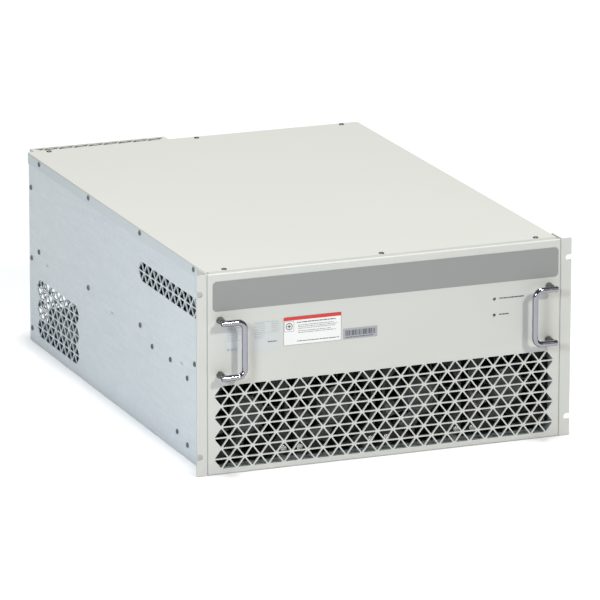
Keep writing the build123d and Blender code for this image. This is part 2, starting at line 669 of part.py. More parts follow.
def line_fuses():
    """Ceramic barrel fuses along Y, each in a pair of end caps on feet."""
    y0, y1, axis_z = 484.0, 546.0, 138.0
    cap, foot = 8.0, 18.0
    fuses = []
    for x in FUSE_XS:
        fuse = rod_y(x, y0, y1, axis_z, 15)
        fuse += rod_y(x, y0, y0 + cap, axis_z, 16) + rod_y(x, y1 - cap, y1, axis_z, 16)
        fuse += block(x - 12, x + 12, y0 + cap - foot, y0 + cap, DECK_TOP, axis_z - 12)
        fuse += block(x - 12, x + 12, y1 - cap, y1 - cap + foot, DECK_TOP, axis_z - 12)
        fuses.append(fuse)
    return fuses


TERMINAL_Y = (606.0, 641.0)
TERMINAL_W = 32.8
TERMINAL_FLANGE_W = 39.8


def terminal_block():
    """Cage clamps side by side, one for each pole: the wire enters from below, the screw faces back."""
    _, _, z0, z1 = TERMINAL_BOX
    back = TERMINAL_Y[1]
    clamps = []
    for x in POLE_XS:
        clamp = block(x - TERMINAL_W / 2, x + TERMINAL_W / 2, TERMINAL_Y[0], back, z0 + 2, z1 - 4)
        clamp = chamfer(clamp.edges().filter_by(Axis.Z).group_by(Axis.Y)[-1], 0.8)
        half = TERMINAL_FLANGE_W / 2
        clamp += block(x - half, x + half, DEPTH - SIDE_T - 3, DEPTH - SIDE_T, z0 - 2, z1)
        clamp -= rod_z(x, WIRE_Y, z0, z0 + 22, WIRE_R)
        clamps.append(clamp - rod_y(x, back - 3, back + 1, z0 + 28, 5))
    return clamps


def signal_connector():
    """Pluggable header for the sensing leads, with its row of pins in a shrouded mouth."""
    body = block(PLUG_X - 19.8, PLUG_X + 19.8, 609, DEPTH + 1, PLUG_Z - 4.8, PLUG_Z + 4.8)
    body += block(PLUG_X - 23, PLUG_X + 23, DEPTH - SIDE_T - 2, DEPTH - SIDE_T, PLUG_Z - 7, PLUG_Z + 7)
    body -= block(PLUG_X - 18.5, PLUG_X + 18.5, DEPTH - 8, DEPTH + 2, PLUG_Z - 3.6, PLUG_Z + 3.6)
    for n in range(8):
        x = PLUG_X - 15.75 + n * 4.5
        body += block(x - 0.5, x + 0.5, DEPTH - 9, DEPTH - 1, PLUG_Z - 0.5, PLUG_Z + 0.5)
    return body


def comm_sockets():
    """Two modular data sockets, each a box with a mouth at the rear."""
    sockets = []
    half = SOCKET_H / 2
    for x in SOCKET_XS:
        body = block(x - 7, x + 7, 608, DEPTH + 1, SOCKET_Z - 5.5, SOCKET_Z + 5.5)
        body += block(x - 9, x + 9, DEPTH - SIDE_T - 2, DEPTH - SIDE_T, SOCKET_Z - 8, SOCKET_Z + 8)
        mouth = block(x - SOCKET_W / 2, x + SOCKET_W / 2, 612, DEPTH + 2, SOCKET_Z - half, SOCKET_Z + half)
        sockets.append(body - mouth)
    return sockets


def ground_stud():
    """M6 stud through the rear panel, with its inner head and an outer collar."""
    stud = rod_y(GROUND_X, DEPTH - 5, DEPTH + 17, GROUND_Z, 3.0)
    stud = chamfer(stud.edges().group_by(Axis.Y)[-1], 0.6)
    head = rod_y(GROUND_X, DEPTH - 5, DEPTH - SIDE_T, GROUND_Z, 7)
    return stud + head + rod_y(GROUND_X, DEPTH, DEPTH + 2.5, GROUND_Z, 6)


# ---------------------------------------------------------------- control
def control_board():
    board = block(-150, 150, 96, 236, CONTROL_Z, CONTROL_Z + 1.6)
    top = CONTROL_Z + 1.6
    board += block(-20, 12, 150, 182, top, top + 3)
    board += block(60, 100, 110, 126, top, top + 12)
    board += block(-120, -70, 200, 214, top, top + 9)
    board += block(20, 110, 210, 222, top, top + 11)
    return board


SUPPLY = (-205.0, -70.0, 50.0, 92.0, 202.0)


def aux_supply():
    """Folded metal case of the auxiliary supply, with a lid seam and cooling slots."""
    x0, x1, y0, y1, top = SUPPLY
    case = block(x0, x1, y0, y1, DECK_TOP, top)
    case = fillet(case.edges().filter_by(Axis.Y).group_by(Axis.Z)[-1], 2)
    for n in range(8):
        x = x0 + 16 + n * 14
        case -= block(x, x + 6, y0 + 8, y1 - 8, top - 1.5, top + 1)
    return case


def standoffs():
    """Hex posts under the driver, capacitor and control boards, and behind the indicator board."""
    posts = []
    for x in (-184, 184):
        for y in (270, 444):
            posts.append(hex_post(x, y, DECK_TOP, CAP_BOARD_Z, 7))
    for x in (-196, 196):
        for y in (102, 230):
            posts.append(hex_post(x, y, DECK_TOP, CONTROL_Z, 7))
    x0, _, z0, z1 = LED_BOARD
    for z in (z0 + 4, z1 - 4):
        posts.append(rod_y(x0 + 5, FRONT_T, LED_BOARD_Y, z, 2.8))
    return posts


# ---------------------------------------------------------------- fasteners
def side_facing(y, z, face_x, one):
    """The same screw on the left and the right side, with its head on the sheet at face_x."""
    left = Pos(-face_x, y, z) * Rot(0, -90, 0) * one
    right = Pos(face_x, y, z) * Rot(0, 90, 0) * one
    return [left, right]


def cover_screws():
    short = screw(5)
    screws = [Pos(x, y, HEIGHT) * short for x in COVER_TOP_XS for y in COVER_TOP_YS]
    for y in COVER_SIDE_YS:
        screws += side_facing(y, COVER_SIDE_Z, COVER_OUT, short)
    return screws


def side_screws():
    screws = []
    places = [(y, DECK_SIDE_Z) for y in DECK_SIDE_YS] + [(REAR_SIDE_Y, z) for z in REAR_SIDE_ZS]
    for y, z in places + SINK_SIDE + FAN_PLATE_SIDE:
        screws += side_facing(y, z, SIDE_OUT, screw(5))
    return screws


def ear_screws():
    screws = []
    for z in EAR_ZS:
        screws += side_facing(EAR_SCREW_Y, z, PANEL_W / 2 + FRONT_T, screw(7))
    return screws


def rear_screws():
    one = screw(5)
    return [Pos(x, DEPTH + SIDE_T, HOOD_SCREW_Z) * Rot(-90, 0, 0) * one for x in HOOD_SCREW_XS]


# ---------------------------------------------------------------- assembly
def build_nodes():
    ear, side, handle = rack_ear_right(), side_panel_left(), handle_left()
    posts = group(handle_posts_left())
    chokes = [choke(x) for x in CHOKE_XS]
    nodes = {
        "front_panel": front_panel(),
        "front_band": front_band(),
        "notice_label": label(-127.6, -56.0, 145.8, 179.6),
        "serial_label": label(-53.6, -10.8, 145.8, 158.9),
        "rating_label": label(-199.5, -133.0, 143.0, 178.0),
        "rack_ear_left": mirrored(ear),
        "rack_ear_right": ear,
        "base_tray": base_tray(),
        "side_panel_left": side,
        "side_panel_right": mirrored(side),
        "top_cover": top_cover(),
        "rear_panel": rear_panel(),
        "terminal_hood": terminal_hood(),
        "front_rail": front_rail(),
        "mid_deck": mid_deck(),
        "fan_plate": fan_plate(),
        "handle_left": handle,
        "handle_right": mirrored(handle),
        "handle_posts_left": posts,
        "handle_posts_right": mirrored(posts),
        "handle_pins": group(handle_pins()),
        "handle_screws": group(handle_screws()),
        "fan_screws": group(fan_screws()),
        "led_board": led_board(),
        "heat_sink": heat_sink(),
        "gate_driver_board": gate_driver_board(),
        "dc_capacitors": group(dc_capacitors()),
        "capacitor_board": capacitor_board(),
        "dc_busbars": group(dc_busbars()),
        "choke_cores": group([core for core, _ in chokes]),
        "choke_windings": group([coil for _, coil in chokes]),
        "filter_capacitors": group(filter_capacitors()),
        "contactor": contactor(),
        "line_fuses": group(line_fuses()),
        "current_sensors": group(current_sensors()),
        "ac_busbars": group(ac_busbars()),
        "control_board": control_board(),
        "aux_supply": aux_supply(),
        "terminal_block": group(terminal_block()),
        "signal_connector": signal_connector(),
        "comm_sockets": group(comm_sockets()),
        "ground_stud": ground_stud(),
        "cover_screws": group(cover_screws()),
        "side_screws": group(side_screws()),
        "ear_screws": group(ear_screws()),
        "rear_screws": group(rear_screws()),
        "standoffs": group(standoffs()),
    }
    for name, z in LED_ZS.items():
        nodes[name] = lens(z)
    frame, rotor = fan_frame(), fan_rotor()
    for n, x in enumerate(FAN_XS, start=1):
        nodes[f"fan_frame_{n}"] = place_fan(frame, x)
        nodes[f"fan_rotor_{n}"] = place_fan(rotor, x)
    for n, x in enumerate(MODULE_XS, start=1):
        nodes[f"power_module_{n}"] = power_module(x)
    return nodes


os.makedirs("parts", exist_ok=True)
for name, shape in build_nodes().items():
    export_step(Pos(0, -MID_Y, 0) * shape, f"parts/{name}.step")
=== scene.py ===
import math
import random

import bmesh
import bpy
from mathutils import Matrix, Vector


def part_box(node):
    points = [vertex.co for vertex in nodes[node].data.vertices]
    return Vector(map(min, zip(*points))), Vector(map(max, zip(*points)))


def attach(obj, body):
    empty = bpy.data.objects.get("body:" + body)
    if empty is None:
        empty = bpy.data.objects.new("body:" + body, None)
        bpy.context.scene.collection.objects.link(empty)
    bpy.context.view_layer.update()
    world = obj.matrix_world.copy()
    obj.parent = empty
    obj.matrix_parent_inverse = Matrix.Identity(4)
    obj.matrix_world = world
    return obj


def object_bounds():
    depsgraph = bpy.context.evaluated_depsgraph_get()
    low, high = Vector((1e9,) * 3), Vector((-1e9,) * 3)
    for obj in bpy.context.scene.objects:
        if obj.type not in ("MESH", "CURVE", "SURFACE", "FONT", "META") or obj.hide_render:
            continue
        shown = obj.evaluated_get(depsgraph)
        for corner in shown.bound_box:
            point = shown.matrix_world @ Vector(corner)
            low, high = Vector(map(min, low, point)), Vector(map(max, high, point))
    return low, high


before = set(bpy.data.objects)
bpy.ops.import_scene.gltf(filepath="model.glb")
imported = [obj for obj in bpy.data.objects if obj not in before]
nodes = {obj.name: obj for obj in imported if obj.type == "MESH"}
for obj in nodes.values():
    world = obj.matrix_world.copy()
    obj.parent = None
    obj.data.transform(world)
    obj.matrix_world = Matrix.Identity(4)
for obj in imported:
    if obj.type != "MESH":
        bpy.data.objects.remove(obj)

# Looks of a rack power module around its CAD frame: finishes for every CAD node, printed marks on
# the labels, a studio floor, soft lights and the camera. Metres, +Z up, front of the unit at low Y.
# The printed marks are drawn in millimetres, in the plane of the front face.

cad_low, cad_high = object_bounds()
scene = bpy.context.scene
MM = 0.001

CAMERA_AT = Vector((-2.56167, -6.46103, 2.01183))
CAMERA_YAW, CAMERA_PITCH, CAMERA_ROLL = 21.758, 15.314, 0.083  # degrees: to the right, down, tilt
LENS_MM, SENSOR_MM = 358.18, 36.0

FLOOR_REACH, FLOOR_CELLS, FLOOR_GAP = 40, 24, 0.0002  # reach from the middle; gap under the unit
LIT_POINT = (0.0, 0.0, 0.12)  # where the lamps aim

FANS, POWER_MODULES = 4, 3
FAN_AXLE_MM = 60.0  # height of the fans' axles
BOARD_TOP = 2.0 * MM  # a board's parts start this far above its underside
LED_BOARD_DEPTH = 1.8 * MM
COVER_SKIN = 2.0 * MM  # depth of the cover's top face, where the painted cool light of the sides starts
MODULE_BASE = 3 * MM  # thickness of a power module's base plate
CAN_END = 2.2 * MM  # height of a capacitor's bare end
BARREL_HALF = 22.8 * MM  # half the length of a fuse's ceramic barrel

PRINT_RAISE = 0.05 * MM  # thickness of a printed mark
FINE, SMALL, MIDDLING, BOLD = 0.55, 0.6, 0.9, 1.1  # heights of small print, in millimetres
DASH_SHORTEST, DASH_GAP, DASH_LEFTOVER, DASH_CORNER = 1.1, (0.45, 0.7), 0.8, 0.2


def rgb(red, green, blue):
    """Linear colour from screen values of 0 to 255."""
    return [*((c / 255 + 0.055) ** 2.4 / 1.055**2.4 for c in (red, green, blue)), 1.0]


# ---------------------------------------------------------------- material graph
class Finish:
    """One material. Its patterns are read in the part's own frame, in metres."""

    def __init__(self, name, **plain):
        self.material = bpy.data.materials.new(name)
        self.material.use_nodes = True
        self.tree = self.material.node_tree
        self.shader = self.tree.nodes["Principled BSDF"]
        self.place = self.node("ShaderNodeTexCoord").outputs["Object"]
        self.normal = None
        for socket, value in plain.items():
            self.shader.inputs[socket.replace("_", " ")].default_value = value

    def node(self, kind, **settings):
        made = self.tree.nodes.new(kind)
        for key, value in settings.items():
            setattr(made, key, value)
        return made

    def feed(self, value, socket):
        if isinstance(value, bpy.types.NodeSocket):
            self.tree.links.new(value, socket)
        else:
            socket.default_value = value

    def stretched(self, stretch):
        if stretch == (1, 1, 1):
            return self.place
        mapping = self.node("ShaderNodeMapping")
        mapping.inputs["Scale"].default_value = stretch
        self.feed(self.place, mapping.inputs["Vector"])
        return mapping.outputs["Vector"]

    def noise(self, per_metre, stretch=(1, 1, 1), detail=3.0, rough=0.5, warp=0.0):
        made = self.node("ShaderNodeTexNoise")
        self.feed(self.stretched(stretch), made.inputs["Vector"])
        settings = {"Scale": per_metre, "Detail": detail, "Roughness": rough, "Distortion": warp}
        for socket, value in settings.items():
            made.inputs[socket].default_value = value
        return made.outputs[0]

    def cells(self, per_metre, output="Distance", **settings):
        made = self.node("ShaderNodeTexVoronoi", **settings)
        self.feed(self.place, made.inputs["Vector"])
        made.inputs["Scale"].default_value = per_metre
        return made.outputs[output]

    def waves(self, per_metre, direction, warp=0.0):
        made = self.node("ShaderNodeTexWave", bands_direction=direction)
        self.feed(self.place, made.inputs["Vector"])
        made.inputs["Scale"].default_value = per_metre
        made.inputs["Distortion"].default_value = warp
        return made.outputs["Fac"]

    def axis(self, letter):
        split = self.node("ShaderNodeSeparateXYZ")
        self.feed(self.place, split.inputs[0])
        return split.outputs[letter]

    def math(self, operation, *values):
        made = self.node("ShaderNodeMath", operation=operation)
        for socket, value in zip(made.inputs, values):
            self.feed(value, socket)
        return made.outputs[0]

    def above(self, letter, level):
        """1 where the surface lies beyond level on that axis."""
        return self.math("GREATER_THAN", self.axis(letter), level)

    def span(self, value, low, high, start=0.3, end=0.7):
        """Value from start to end becomes low to high."""
        made = self.node("ShaderNodeMapRange")
        limits = {"From Min": start, "From Max": end, "To Min": low, "To Max": high}
        for socket, number in limits.items():
            made.inputs[socket].default_value = number
        self.feed(value, made.inputs["Value"])
        return made.outputs["Result"]

    def mix(self, share, first, second):
        """First where share is 0, second where it is 1."""
        made = self.node("ShaderNodeMix", data_type="RGBA")
        for index, value in ((0, share), (6, first), (7, second)):
            self.feed(value, made.inputs[index])
        return made.outputs[2]

    def bump(self, height, distance):
        """Adds relief of that depth on top of the relief so far."""
        made = self.node("ShaderNodeBump")
        made.inputs["Distance"].default_value = distance
        self.feed(height, made.inputs["Height"])
        if self.normal is not None:
            self.feed(self.normal, made.inputs["Normal"])
        self.normal = made.outputs["Normal"]

    def edges(self, width):
        """0 on flat faces, rising to 1 within that width of an edge, where the normal is rounded too."""
        bevel = self.node("ShaderNodeBevel", samples=4)
        bevel.inputs["Radius"].default_value = width
        flat = self.node("ShaderNodeNewGeometry").outputs["Normal"]
        dot = self.node("ShaderNodeVectorMath", operation="DOT_PRODUCT")
        self.feed(bevel.outputs["Normal"], dot.inputs[0])
        self.feed(flat, dot.inputs[1])
        self.normal = bevel.outputs["Normal"]
        return self.span(dot.outputs["Value"], 1.0, 0.0, 0.75, 0.99)

    def done(self, colour, roughness, metallic=None):
        self.feed(colour, self.shader.inputs["Base Color"])
        self.feed(roughness, self.shader.inputs["Roughness"])
        if metallic is not None:
            self.feed(metallic, self.shader.inputs["Metallic"])
        if self.normal is not None:
            self.feed(self.normal, self.shader.inputs["Normal"])
        return self.material


def shade(colour, factor):
    """The colour made lighter or darker by a factor, and opaque."""
    return [*(min(1.0, c * factor) for c in colour[:3]), 1.0]


# ---------------------------------------------------------------- painted and plated sheet
def panel_paint():
    """Cream-white powder coat: fine orange peel, a faint drift in tone and lighter edges, from paint wear
    and a painted edge highlight.
    """
    f = Finish("panel_paint", Coat_Weight=0.1, Coat_Roughness=0.35)
    cream = rgb(173, 174, 170)
    # Lighter edges: paint wear and a painted edge highlight.
    wear_and_edge_highlight = f.edges(0.5 * MM)
    drift = f.mix(f.span(f.noise(7), 0, 1), shade(cream, 0.97), shade(cream, 1.01))
    speck = f.mix(f.span(f.noise(1900, detail=1), 0, 0.5), drift, shade(cream, 0.93))
    f.bump(f.noise(1100, detail=2, rough=0.4), 0.02 * MM)
    roughness = f.span(f.noise(45, detail=4), 0.38, 0.5)
    return f.done(f.mix(f.math("MULTIPLY", wear_and_edge_highlight, 0.35), speck, rgb(204, 205, 200)), roughness)


def cover_paint():
    """Satin paint of lid and hood: broad soft bands of painted sheen in tone, matching bands in gloss, and
    painted cool light below the top face.
    """
    f = Finish("cover_paint", Coat_Weight=0.06, Coat_Roughness=0.4)
    # white is the paint; cool is the same paint with painted cool light, used below the top face.
    white, cool = rgb(181, 182, 177), rgb(188, 197, 200)
    # Lighter edges: paint wear and a painted edge highlight.
    wear_and_edge_highlight = f.edges(0.6 * MM)
    # Broad bands of lighter and darker tone are a painted sheen; the same bands set the gloss.
    painted_sheen_band = f.noise(2.6, stretch=(1.0, 0.55, 1.0), detail=1.5, warp=0.35)
    fine = f.noise(1700, detail=1)
    tone = f.mix(f.span(painted_sheen_band, 0, 1, 0.35, 0.65), shade(white, 0.955), shade(white, 1.035))
    # Below the top face (the lid's side flanges and the whole hood) the tone turns cool: painted cool
    # light from the left lamp.
    on_top = f.above("Z", top_of("top_cover") - COVER_SKIN)
    tone = f.mix(on_top, f.mix(f.span(painted_sheen_band, 0, 1), cool, shade(cool, 1.04)), tone)
    tone = f.mix(f.span(fine, 0, 0.4), tone, shade(white, 0.95))
    f.bump(f.noise(800, detail=2, rough=0.4), 0.015 * MM)
    roughness = f.span(painted_sheen_band, 0.62, 0.5, 0.35, 0.65)
    return f.done(f.mix(f.math("MULTIPLY", wear_and_edge_highlight, 0.4), tone, rgb(200, 201, 197)), roughness)


def zinc_sheet():
    """Zinc coated steel: pale blue-grey, faint spangle and fine streaks along the rolling."""
    f = Finish("zinc_sheet")
    pale, deep = rgb(195, 203, 206), rgb(185, 193, 197)
    # Lighter edges: bare cut metal and a painted edge highlight.
    cut_edge_and_highlight = f.edges(0.4 * MM)
    spangle = f.cells(210, output="Color")
    streak = f.noise(120, stretch=(6, 0.15, 6), detail=4)
    cloud = f.noise(5, detail=2)
    tone = f.mix(f.span(spangle, 0, 0.45, 0.0, 1.0), pale, deep)
    tone = f.mix(f.span(streak, 0, 0.4), tone, shade(deep, 0.95))
    tone = f.mix(f.span(cloud, 0, 0.35), tone, shade(pale, 1.03))
    f.bump(streak, 0.012 * MM)
    f.bump(spangle, 0.004 * MM)
    roughness = f.math("ADD", f.span(streak, 0.36, 0.5), f.span(spangle, -0.03, 0.03, 0.0, 1.0))
    colour = f.mix(f.math("MULTIPLY", cut_edge_and_highlight, 0.5), tone, rgb(212, 216, 218))
    return f.done(colour, roughness, f.span(cloud, 0.29, 0.32))


def inner_zinc():
    """The same coated steel inside the unit, with dull handling marks."""
    f = Finish("inner_zinc")
    spangle = f.cells(160, output="Color")
    marks = f.noise(38, detail=6, rough=0.65)
    tone = f.mix(f.span(spangle, 0, 1, 0.0, 1.0), rgb(184, 190, 193), rgb(158, 165, 169))
    tone = f.mix(f.span(marks, 0, 0.4, 0.5, 0.7), tone, rgb(138, 142, 142))
    f.bump(spangle, 0.01 * MM)
    return f.done(tone, f.span(marks, 0.35, 0.55), f.span(spangle, 0.6, 0.75, 0.0, 1.0))


# ---------------------------------------------------------------- prints and labels
def printed_film(name, colour, grain, roughness, coat):
    """Screen-printed polyester film with a dry grain."""
    f = Finish(name, Coat_Weight=coat, Coat_Roughness=0.2)
    fine = f.noise(2400, detail=1)
    broad = f.noise(14, detail=3)
    tone = f.mix(f.span(fine, 0, 1), shade(colour, 1 - grain), shade(colour, 1 + grain))
    tone = f.mix(f.span(broad, 0, 0.5), tone, shade(colour, 1 + 0.6 * grain))
    f.bump(fine, 0.006 * MM)
    return f.done(tone, f.span(broad, roughness - 0.05, roughness + 0.05))


# ---------------------------------------------------------------- metals
def drawn_metal(name, light, dark, smooth, rough, stretch, per_metre=400, depth=0.006):
    """Bare metal with fine marks drawn out along one axis, and small wipes of duller gloss."""
    f = Finish(name, Metallic=1.0)
    lines = f.noise(per_metre, stretch=stretch, detail=5, rough=0.6)
    wipes = f.noise(60, detail=3)
    tone = f.mix(f.span(lines, 0, 1), light, dark)
    f.bump(lines, depth * MM)
    return f.done(tone, f.math("ADD", f.span(lines, smooth, rough), f.span(wipes, 0.0, 0.06)))


def blackened_screw():
    """Dark zinc-nickel screw head: brighter on the edges, from scuffs by the driver and a painted edge
    highlight.
    """
    f = Finish("blackened_screw")
    # Brighter edges: driver scuffs and a painted edge highlight.
    scuff_and_edge_highlight = f.edges(0.35 * MM)
    patch = f.noise(900, detail=4)
    tone = f.mix(f.span(patch, 0, 1), rgb(84, 88, 91), rgb(112, 116, 118))
    colour = f.mix(f.math("MULTIPLY", scuff_and_edge_highlight, 0.55), tone, rgb(150, 152, 152))
    f.bump(patch, 0.02 * MM)
    return f.done(colour, f.span(patch, 0.3, 0.45), f.span(patch, 0.75, 0.9))


def post_steel():
    """Turned dark steel of the handle posts, with tool rings."""
    f = Finish("post_steel")
    rings = f.waves(1500, "Y", warp=0.6)
    patch = f.noise(500, detail=3)
    tone = f.mix(f.span(patch, 0, 1), rgb(92, 94, 92), rgb(122, 123, 119))
    f.bump(rings, 0.02 * MM)
    return f.done(tone, f.span(rings, 0.3, 0.42, 0, 1), f.span(patch, 0.8, 0.95))


def tinned_copper():
    """Busbar: tin over copper, which shows warm where the tin is thin."""
    f = Finish("tinned_copper")
    warm = f.noise(90, detail=5, rough=0.6)
    lines = f.noise(500, stretch=(8, 0.3, 8), detail=2)
    tone = f.mix(f.span(warm, 0, 1, 0.42, 0.62), rgb(196, 192, 184), rgb(196, 142, 102))
    f.bump(lines, 0.01 * MM)
    return f.done(tone, f.span(lines, 0.25, 0.42), f.span(warm, 0.95, 1.0))


def winding():
    """Enamelled wire laid side by side round the choke."""
    f = Finish("winding", Coat_Weight=0.5, Coat_Roughness=0.12)
    turns = f.waves(150, "Z")
    tint = f.noise(70, detail=3)
    tone = f.mix(f.span(tint, 0, 1), rgb(150, 76, 36), rgb(186, 104, 52))
    colour = f.mix(f.span(turns, 0.7, 0.0, 0.0, 0.35), tone, rgb(50, 24, 14))
    f.bump(turns, 0.4 * MM)
    return f.done(colour, f.span(tint, 0.28, 0.4), f.span(turns, 0.5, 0.7, 0, 1))


def laminated_core():
    """Stacked steel sheets under varnish."""
    f = Finish("laminated_core", Coat_Weight=0.3, Coat_Roughness=0.3)
    sheets = f.waves(320, "Y")
    rust = f.noise(60, detail=6, rough=0.7)
    tone = f.mix(f.span(sheets, 0, 1, 0, 1), rgb(58, 56, 56), rgb(88, 84, 82))
    colour = f.mix(f.span(rust, 0, 0.6, 0.58, 0.75), tone, rgb(98, 62, 42))
    f.bump(sheets, 0.08 * MM)
    return f.done(colour, f.span(rust, 0.4, 0.6), f.span(sheets, 0.5, 0.7, 0, 1))


# ---------------------------------------------------------------- plastics and boards
def moulded(name, colour, grain=0.04, rough=0.5, per_metre=700, depth=0.03, coat=0.0):
    """Moulded plastic: spark-eroded grain, slow flow marks and paler edges, from scuffs and a painted edge
    highlight.
    """
    f = Finish(name, Coat_Weight=coat, Coat_Roughness=0.3)
    # Paler edges: scuffs and a painted edge highlight.
    scuff_and_edge_highlight = f.edges(0.3 * MM)
    fine = f.noise(per_metre, detail=3, rough=0.6)
    flow = f.noise(16, stretch=(1, 1, 2.5), detail=3, warp=0.8)
    tone = f.mix(f.span(fine, 0, 1), shade(colour, 1 - grain), shade(colour, 1 + grain))
    tone = f.mix(f.span(flow, 0, 0.5), tone, shade(colour, 1 + 2.5 * grain))
    f.bump(fine, depth * MM)
    colour = f.mix(f.math("MULTIPLY", scuff_and_edge_highlight, 0.3), tone, shade(colour, 1.5))
    return f.done(colour, f.span(flow, rough - 0.06, rough + 0.08))


def circuit_board(name, letter, level):
    """Green solder mask with traces and pads; parts that stand beyond level are dark moulded cases."""
    f = Finish(name, Coat_Weight=0.35, Coat_Roughness=0.15)
    tracks = f.cells(170, distance="CHEBYCHEV", feature="F2")
    pads = f.cells(300, distance="CHEBYCHEV")
    mask = f.mix(f.span(f.noise(30), 0, 1), rgb(14, 74, 42), rgb(20, 92, 54))
    mask = f.mix(f.span(tracks, 0, 0.5, 0.72, 0.76), mask, rgb(48, 128, 84))
    mask = f.mix(f.span(pads, 1, 0, 0.06, 0.09), mask, rgb(188, 186, 170))
    case = f.mix(f.span(f.noise(800), 0, 1), rgb(24, 25, 27), rgb(40, 41, 43))
    beyond = f.above(letter, level)
    f.bump(tracks, 0.03 * MM)
    return f.done(f.mix(beyond, mask, case), f.span(beyond, 0.28, 0.5, 0, 1))


def capacitor_can(top):
    """Dark sleeve with a pale stripe; the dished end of the can is bare aluminium."""
    f = Finish("capacitor_can", Coat_Weight=0.3, Coat_Roughness=0.2)
    fine = f.noise(900, detail=2)
    sleeve = f.mix(f.span(fine, 0, 1), rgb(20, 26, 44), rgb(30, 38, 62))
    stripe = f.math("GREATER_THAN", f.waves(26.18, "X"), 0.985)
    sleeve = f.mix(stripe, sleeve, rgb(176, 180, 186))
    end = f.above("Z", top - CAN_END)
    metal = f.mix(f.span(f.noise(260, detail=4), 0, 1), rgb(196, 198, 200), rgb(164, 166, 168))
    f.bump(fine, 0.02 * MM)
    return f.done(f.mix(end, sleeve, metal), f.span(fine, 0.28, 0.4), f.span(end, 0.0, 0.95, 0, 1))


def power_module():
    """A plated base plate and a dark moulded body above it."""
    f = Finish("power_module")
    base, body = rgb(190, 188, 182), rgb(30, 31, 33)
    upper = f.above("Z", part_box("power_module_1")[0].z + MODULE_BASE)
    fine = f.noise(750, detail=3)
    low = f.mix(f.span(fine, 0, 1), shade(base, 0.9), base)
    high = f.mix(f.span(fine, 0, 1), shade(body, 0.9), shade(body, 1.1))
    f.bump(fine, 0.02 * MM)
    return f.done(f.mix(upper, low, high), f.span(fine, 0.37, 0.53), f.span(upper, 0.9, 0.0, 0, 1))


def fuse_body():
    """Glazed ceramic barrel between plated end caps and feet."""
    f = Finish("fuse_body", Coat_Weight=0.4, Coat_Roughness=0.08)
    low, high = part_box("line_fuses")
    middle = (low.y + high.y) / 2
    away = f.math("ABSOLUTE", f.math("SUBTRACT", f.axis("Y"), middle))
    cap = f.math("GREATER_THAN", away, BARREL_HALF)
    glaze = f.mix(f.span(f.noise(80, detail=4), 0, 1), rgb(226, 222, 208), rgb(212, 206, 190))
    plate = f.mix(f.span(f.noise(400, detail=3), 0, 1), rgb(190, 190, 188), rgb(160, 160, 158))
    f.bump(f.noise(300), 0.02 * MM)
    return f.done(f.mix(cap, glaze, plate), f.span(f.noise(120), 0.2, 0.34), f.span(cap, 0.0, 0.95, 0, 1))


def indicator_lens():
    """Smoke-tinted light pipe, near black when unlit, paler on its edges, from scuffs and a painted edge
    highlight.
    """
    f = Finish("indicator_lens", Coat_Weight=1.0, Coat_Roughness=0.05)
    fine = f.noise(1400, detail=2)
    # Paler edges: scuffs and a painted edge highlight.
    wear_and_edge_highlight = f.edges(0.2 * MM)
    tone = f.mix(f.span(fine, 0, 1), rgb(12, 13, 14), rgb(22, 23, 25))
    return f.done(f.mix(f.math("MULTIPLY", wear_and_edge_highlight, 0.3), tone, rgb(70, 72, 75)), f.span(fine, 0.12, 0.2))


# ---------------------------------------------------------------- finishes for the CAD nodes
def numbered(stem, count):
    return [f"{stem}_{n}" for n in range(1, count + 1)]


def top_of(node):
    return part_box(node)[1].z


def flat_board(node, name):
    """Finish of a board that lies flat, with its parts on top."""
    return circuit_board(name, "Z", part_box(node)[0].z + BOARD_TOP)


